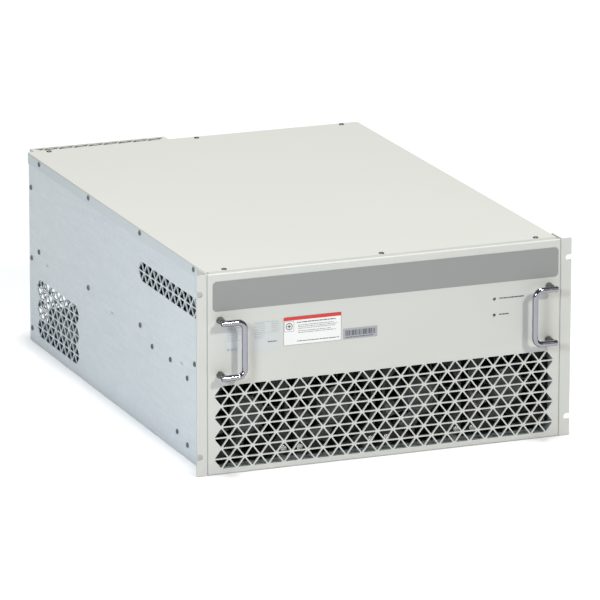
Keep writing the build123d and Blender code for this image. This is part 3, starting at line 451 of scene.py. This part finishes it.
def finish_nodes():
    """Gives every CAD node its finish, and stops if one is left bare."""
    lengthwise, upright, crosswise, even = (9, 0.25, 9), (9, 9, 0.3), (0.3, 9, 9), (1, 1, 1)
    led_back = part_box("led_board")[0].y + LED_BOARD_DEPTH
    pairs = [
        (panel_paint(), ["front_panel", "rack_ear_left", "rack_ear_right"]),
        (cover_paint(), ["top_cover", "terminal_hood"]),
        (zinc_sheet(), ["side_panel_left", "side_panel_right", "rear_panel", "base_tray"]),
        (inner_zinc(), ["front_rail", "mid_deck"]),
        # Near-black finish on the fan plate.
        (moulded("near_black_plate", rgb(17, 18, 19), 0.12, 0.55), ["fan_plate"]),
        (printed_film("band_print", rgb(119, 121, 120), 0.012, 0.45, 0.1), ["front_band"]),
        (printed_film("label_white", rgb(197, 198, 197), 0.012, 0.35, 0.3), ["notice_label"]),
        (printed_film("label_silver", rgb(134, 137, 143), 0.03, 0.32, 0.4), ["serial_label"]),
        (printed_film("label_clear", rgb(168, 172, 172), 0.012, 0.4, 0.2), ["rating_label"]),
        (drawn_metal("chrome", rgb(154, 154, 161), rgb(138, 138, 146), 0.06, 0.12, upright, 260, 0.002),
         ["handle_left", "handle_right"]),
        (post_steel(), ["handle_posts_left", "handle_posts_right"]),
        (blackened_screw(), ["cover_screws", "side_screws", "ear_screws", "rear_screws"]),
        (drawn_metal("zinc_screw", rgb(206, 208, 210), rgb(160, 164, 168), 0.22, 0.36, even, 700),
         ["handle_pins", "handle_screws", "fan_screws", "ground_stud", "standoffs"]),
        (drawn_metal("extruded_aluminium", rgb(196, 198, 200), rgb(158, 160, 163), 0.3, 0.45, lengthwise),
         ["heat_sink"]),
        (drawn_metal("brushed_case", rgb(188, 191, 194), rgb(160, 163, 166), 0.34, 0.48, crosswise),
         ["aux_supply"]),
        (moulded("fan_frame_plastic", rgb(14, 15, 16), 0.12, 0.48), numbered("fan_frame", FANS)),
        (moulded("fan_rotor_plastic", rgb(26, 29, 32), 0.1, 0.42), numbered("fan_rotor", FANS)),
        (indicator_lens(), ["run_lens", "fault_lens"]),
        (circuit_board("led_board", "Y", led_back), ["led_board"]),
        (flat_board("gate_driver_board", "driver_board"), ["gate_driver_board"]),
        (flat_board("control_board", "control_board"), ["control_board"]),
        (circuit_board("capacitor_board", "Z", top_of("capacitor_board")), ["capacitor_board"]),
        (capacitor_can(top_of("dc_capacitors")), ["dc_capacitors"]),
        (power_module(), numbered("power_module", POWER_MODULES)),
        (tinned_copper(), ["dc_busbars", "ac_busbars"]),
        (winding(), ["choke_windings"]),
        (laminated_core(), ["choke_cores"]),
        (moulded("potting", rgb(30, 30, 32), 0.08, 0.35, 200, 0.05, 0.3), ["filter_capacitors"]),
        (moulded("contactor_case", rgb(112, 115, 118), 0.03, 0.5), ["contactor"]),
        (fuse_body(), ["line_fuses"]),
        (moulded("sensor_case", rgb(38, 66, 120), 0.05, 0.45), ["current_sensors"]),
        (moulded("terminal_case", rgb(92, 95, 97), 0.04, 0.5), ["terminal_block"]),
        (moulded("socket_case", rgb(44, 46, 48), 0.06, 0.45), ["comm_sockets"]),
        (moulded("connector_case", rgb(46, 128, 74), 0.04, 0.45), ["signal_connector"]),
    ]
    given = set()
    for material, names in pairs:
        for name in names:
            nodes[name].material_slots[0].material = material
            given.add(name)
    bare = sorted(set(nodes) - given)
    if bare:
        raise RuntimeError(f"no finish for {bare}")


# ---------------------------------------------------------------- printed marks
def rounded(x0, x1, z0, z1, radius, steps=3):
    """Outline of a rectangle with round corners, in millimetres."""
    radius = min(radius, (x1 - x0) / 2.01, (z1 - z0) / 2.01)  # just under half the shorter side
    corners = ((x1 - radius, z1 - radius), (x0 + radius, z1 - radius), (x0 + radius, z0 + radius),
               (x1 - radius, z0 + radius))
    points = []
    for quarter, (x, z) in enumerate(corners):
        for step in range(steps + 1):
            turn = math.radians(90 * (quarter + step / steps))
            points.append((x + radius * math.cos(turn), z + radius * math.sin(turn)))
    return points


def circle(x, z, radius, steps=32):
    """Outline of a disc, in millimetres."""
    turns = [2 * math.pi * n / steps for n in range(steps)]
    return [(x + radius * math.cos(t), z + radius * math.sin(t)) for t in turns]


def ring(x, z, outer, inner, steps=32):
    """A disc's outline and the hole in it."""
    return circle(x, z, outer, steps), circle(x, z, inner, steps)


def stroke(x, z, half_width, half_height):
    """Outline of a round-ended bar about its middle."""
    return rounded(x - half_width, x + half_width, z - half_height, z + half_height, 0.5)


def stamp(bm, outline, front, back, hole=None):
    """A thin closed plate between two depths; a hole has as many points as the outline."""
    loops = [[bm.verts.new((x * MM, y, z * MM)) for x, z in line]
             for line in (outline, hole) if line for y in (front, back)]
    count = len(outline)
    for n in range(count):
        m = (n + 1) % count
        bm.faces.new((loops[0][n], loops[0][m], loops[1][m], loops[1][n]))
        if hole:
            bm.faces.new((loops[2][m], loops[2][n], loops[3][n], loops[3][m]))
            bm.faces.new((loops[0][m], loops[0][n], loops[2][n], loops[2][m]))
            bm.faces.new((loops[1][n], loops[1][m], loops[3][m], loops[3][n]))
    if not hole:
        bm.faces.new(reversed(loops[0]))
        bm.faces.new(loops[1])


def marks(name, shapes, face_y, material, body="chassis", slot="band_print"):
    """One piece of marks, just proud of the face at face_y. A shape is an outline, or one and its hole."""
    bm = bmesh.new()
    for shape in shapes:
        outline, hole = shape if isinstance(shape, tuple) else (shape, None)
        stamp(bm, outline, face_y - PRINT_RAISE, face_y, hole)
    bmesh.ops.recalc_face_normals(bm, faces=bm.faces)
    mesh = bpy.data.meshes.new(name)
    bm.to_mesh(mesh)
    bm.free()
    mesh.materials.append(material)
    piece = bpy.data.objects.new(name, mesh)
    scene.collection.objects.link(piece)
    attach(piece, body)


def dashes(x0, x1, z, height, draw, longest=4.2):
    """A row of short rounded dashes of uneven length, standing for a line of small print."""
    row, x = [], x0
    while x < x1 - DASH_LEFTOVER:
        end = min(x + draw.uniform(DASH_SHORTEST, longest), x1)
        row.append(rounded(x, end, z - height / 2, z + height / 2, DASH_CORNER))
        x = end + draw.uniform(*DASH_GAP)
    return row


def frame_line(x0, x1, z0, z1, width, radius=0.6):
    """A ruled box: a rectangle's outline and, inside its line, the hole."""
    outer = rounded(x0, x1, z0, z1, radius)
    inner = rounded(x0 + width, x1 - width, z0 + width, z1 - width, max(radius - width, 0.05))
    return outer, inner


def box_mm(node):
    """Left, right, bottom and top of a node in millimetres, and its front face in metres."""
    low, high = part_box(node)
    return [v / MM for v in (low.x, high.x, low.z, high.z)] + [low.y]


def mark_notice(ink, red):
    """White label: a red strip on top, a plain pictogram in a box and rows of small print."""
    x0, x1, z0, z1, face = box_mm("notice_label")
    draw = random.Random(4)
    strip, longest = 4.3, 5.5
    marks("notice_strip", [rounded(x0, x1, z1 - strip, z1, 1.0)], face, red, slot="label_white")
    x, z = x0 + 6.9, z1 - 11.2  # middle of the pictogram
    half_bar, half_length = 0.55, 2.4
    shapes = [frame_line(x0, x1, z0, z1, 0.3, 1.0),
              frame_line(x - 6, x + 6, z - 6.2, z + 6.2, 0.35),
              ring(x, z, 4.2, 3.3),
              stroke(x, z, half_bar, half_length),
              stroke(x, z, half_length, half_bar)]
    text_x = x0 + 16.5
    shapes += dashes(text_x, x1 - 7, z1 - 7.2, BOLD, draw, longest)
    for down in (10.6, 12.6, 14.6, 17.6, 19.6):
        shapes += dashes(text_x + 1.5, x1 - draw.uniform(2.5, 14), z1 - down, SMALL, draw)
    shapes += dashes(text_x, x1 - 2.5, z0 + 4.2, MIDDLING, draw, longest)
    marks("notice_print", shapes, face, ink, slot="label_white")


def mark_serial(ink):
    """Silver label: a row of upright bars of uneven width, with a line of small print under it."""
    x0, x1, z0, z1, face = box_mm("serial_label")
    draw = random.Random(9)
    left, foot, head = x0 + 3, z0 + 4.2, z1 - 2.4
    shapes, x = [], left
    while x < x1 - 3.5:
        width = draw.choice((0.35, 0.35, 0.7, 1.05))
        shapes.append(rounded(x, x + width, foot, head, 0.05, 1))
        x += width + draw.choice((0.4, 0.4, 0.8))
    shapes += dashes(left, x1 - 5, z0 + 2.4, MIDDLING, draw)
    marks("serial_print", shapes, face, ink, slot="label_silver")


def mark_rating(ink, faint):
    """Clear label: two columns of fine print, a ruled box and a row of small plain marks."""
    x0, x1, z0, z1, face = box_mm("rating_label")
    draw = random.Random(12)
    rows, boxed_rows, pitch, longest = 9, 6, 2.15, 3.2
    fine = []
    for row in range(rows):
        z = z1 - 2.2 - pitch * row
        fine += dashes(x0 + 2.5, x0 + 14 + draw.uniform(0, 6), z, FINE, draw, longest)
        boxed, below = [(x0 + 36, x0 + 49), (x0 + 57, x1 - 1.5)], [(x0 + 36, x0 + 47)]
        for start, end in boxed if row < boxed_rows else below:
            fine += dashes(start, end, z, FINE, draw, longest)
    fine.append(frame_line(x0 + 34.5, x1 - 0.8, z1 - 14.2, z1 - 0.8, 0.18))
    mark_z = z0 + 5.2
    bold = [ring(x0 + 3.6 + 4.6 * step, mark_z, 1.5, 1.1) for step in range(2)]
    bold.append(frame_line(x0 + 11.2, x0 + 14.4, mark_z - 1.4, mark_z + 1.4, 0.3, 0.3))
    bold += dashes(x1 - 14, x1 - 3, z0 + 10, 1.3, draw, 3.4)
    marks("rating_print", fine, face, faint, slot="label_clear")
    marks("rating_marks", bold, face, ink, slot="label_clear")


def mark_indicators(ink):
    """A row of dashes beside each lens, in place of words."""
    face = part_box("front_panel")[0].y
    draw = random.Random(3)
    for name, length in (("run", 31.0), ("fault", 12.5)):
        _, x1, z0, z1, _ = box_mm(f"{name}_lens")
        start, z = x1 + 4.4, (z0 + z1) / 2 + 0.3
        row = dashes(start, start + length, z, 1.5, draw, 5.0)
        marks(f"{name}_legend", row, face, ink, slot="panel_paint")


def hub_plates(film, ink):
    """A thin foil disc on each fan hub, with a printed ring."""
    steps = 48
    for n in range(1, FANS + 1):
        low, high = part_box(f"fan_rotor_{n}")
        x, z = (low.x + high.x) / 2 / MM, FAN_AXLE_MM
        body = f"fan_{n}"
        marks(f"hub_foil_{n}", [circle(x, z, 17.0, steps)], low.y, film, body, "rotor_plastic")
        line = ring(x, z, 15.6, 15.0, steps)
        marks(f"hub_ring_{n}", [line], low.y - PRINT_RAISE, ink, body, "rotor_plastic")


def build_prints():
    """All printed marks, with their inks and foils."""
    ink = printed_film("ink_dark", rgb(58, 60, 62), 0.05, 0.5, 0.0)
    faint = printed_film("ink_faint", rgb(124, 129, 131), 0.02, 0.5, 0.0)
    red = printed_film("ink_red", rgb(176, 32, 28), 0.03, 0.4, 0.1)
    foil = printed_film("hub_foil", rgb(33, 37, 41), 0.04, 0.35, 0.2)
    silver = printed_film("hub_print", rgb(72, 76, 80), 0.03, 0.4, 0.0)
    mark_notice(ink, red)
    mark_serial(ink)
    mark_rating(ink, faint)
    mark_indicators(ink)
    hub_plates(foil, silver)


# ---------------------------------------------------------------- stage
def floor_material():
    """Pale matt floor with a faint drift in tone and gloss."""
    f = Finish("floor_white")
    tone = f.mix(f.span(f.noise(3, detail=4), 0, 1), rgb(214, 215, 216), rgb(218, 218, 219))
    return f.done(tone, f.span(f.noise(12), 0.7, 0.8))


def build_floor():
    """A wide flat sheet just under the unit."""
    bm = bmesh.new()
    bmesh.ops.create_grid(bm, x_segments=FLOOR_CELLS, y_segments=FLOOR_CELLS, size=FLOOR_REACH)
    mesh = bpy.data.meshes.new("floor")
    bm.to_mesh(mesh)
    bm.free()
    mesh.materials.append(floor_material())
    floor = bpy.data.objects.new("floor", mesh)
    floor.location.z = cad_low.z - FLOOR_GAP
    scene.collection.objects.link(floor)


def softbox(name, place, side, power, colour):
    """A square soft lamp aimed at the unit."""
    data = bpy.data.lights.new(name, "AREA")
    data.shape, data.size, data.size_y = "RECTANGLE", side, side
    data.energy, data.color = power, colour
    lamp = bpy.data.objects.new(name, data)
    lamp.location = place
    lamp.rotation_euler = (Vector(LIT_POINT) - Vector(place)).to_track_quat("-Z", "Y").to_euler()
    scene.collection.objects.link(lamp)


def skylight(name, strength, spread, colour):
    """An overhead lamp so far off that it lights the whole floor evenly; spread is in degrees."""
    data = bpy.data.lights.new(name, "SUN")
    data.energy, data.angle, data.color = strength, math.radians(spread), colour
    lamp = bpy.data.objects.new(name, data)
    scene.collection.objects.link(lamp)


def build_lights():
    """A dim sky, a lamp overhead, a warm key from the front and a cool fill from the left."""
    world = bpy.data.worlds.new("studio")
    scene.world = world
    world.use_nodes = True
    background = world.node_tree.nodes["Background"]
    background.inputs["Color"].default_value = (0.93, 0.96, 1.0, 1.0)
    background.inputs["Strength"].default_value = 0.12
    skylight("overhead", strength=3.9, spread=14, colour=(1.0, 0.995, 0.98))
    softbox("key", place=(2.2, -6.6, 4.5), side=0.8, power=400, colour=(1.0, 0.965, 0.9))
    softbox("left", place=(-1.6, -1.7, 1.1), side=0.4, power=30, colour=(0.86, 0.93, 1.0))


def build_camera():
    data = bpy.data.cameras.new("camera")
    data.lens, data.sensor_width = LENS_MM, SENSOR_MM
    camera = bpy.data.objects.new("camera", data)
    turn = Matrix.Rotation(-math.radians(CAMERA_YAW), 4, "Z")
    tip = Matrix.Rotation(math.radians(90 - CAMERA_PITCH), 4, "X")
    roll = Matrix.Rotation(math.radians(CAMERA_ROLL), 4, "Z")
    camera.matrix_world = Matrix.Translation(CAMERA_AT) @ turn @ tip @ roll
    scene.collection.objects.link(camera)
    scene.camera = camera


scene.view_settings.view_transform = "Standard"
build_camera()
build_floor()
build_lights()
finish_nodes()
build_prints()
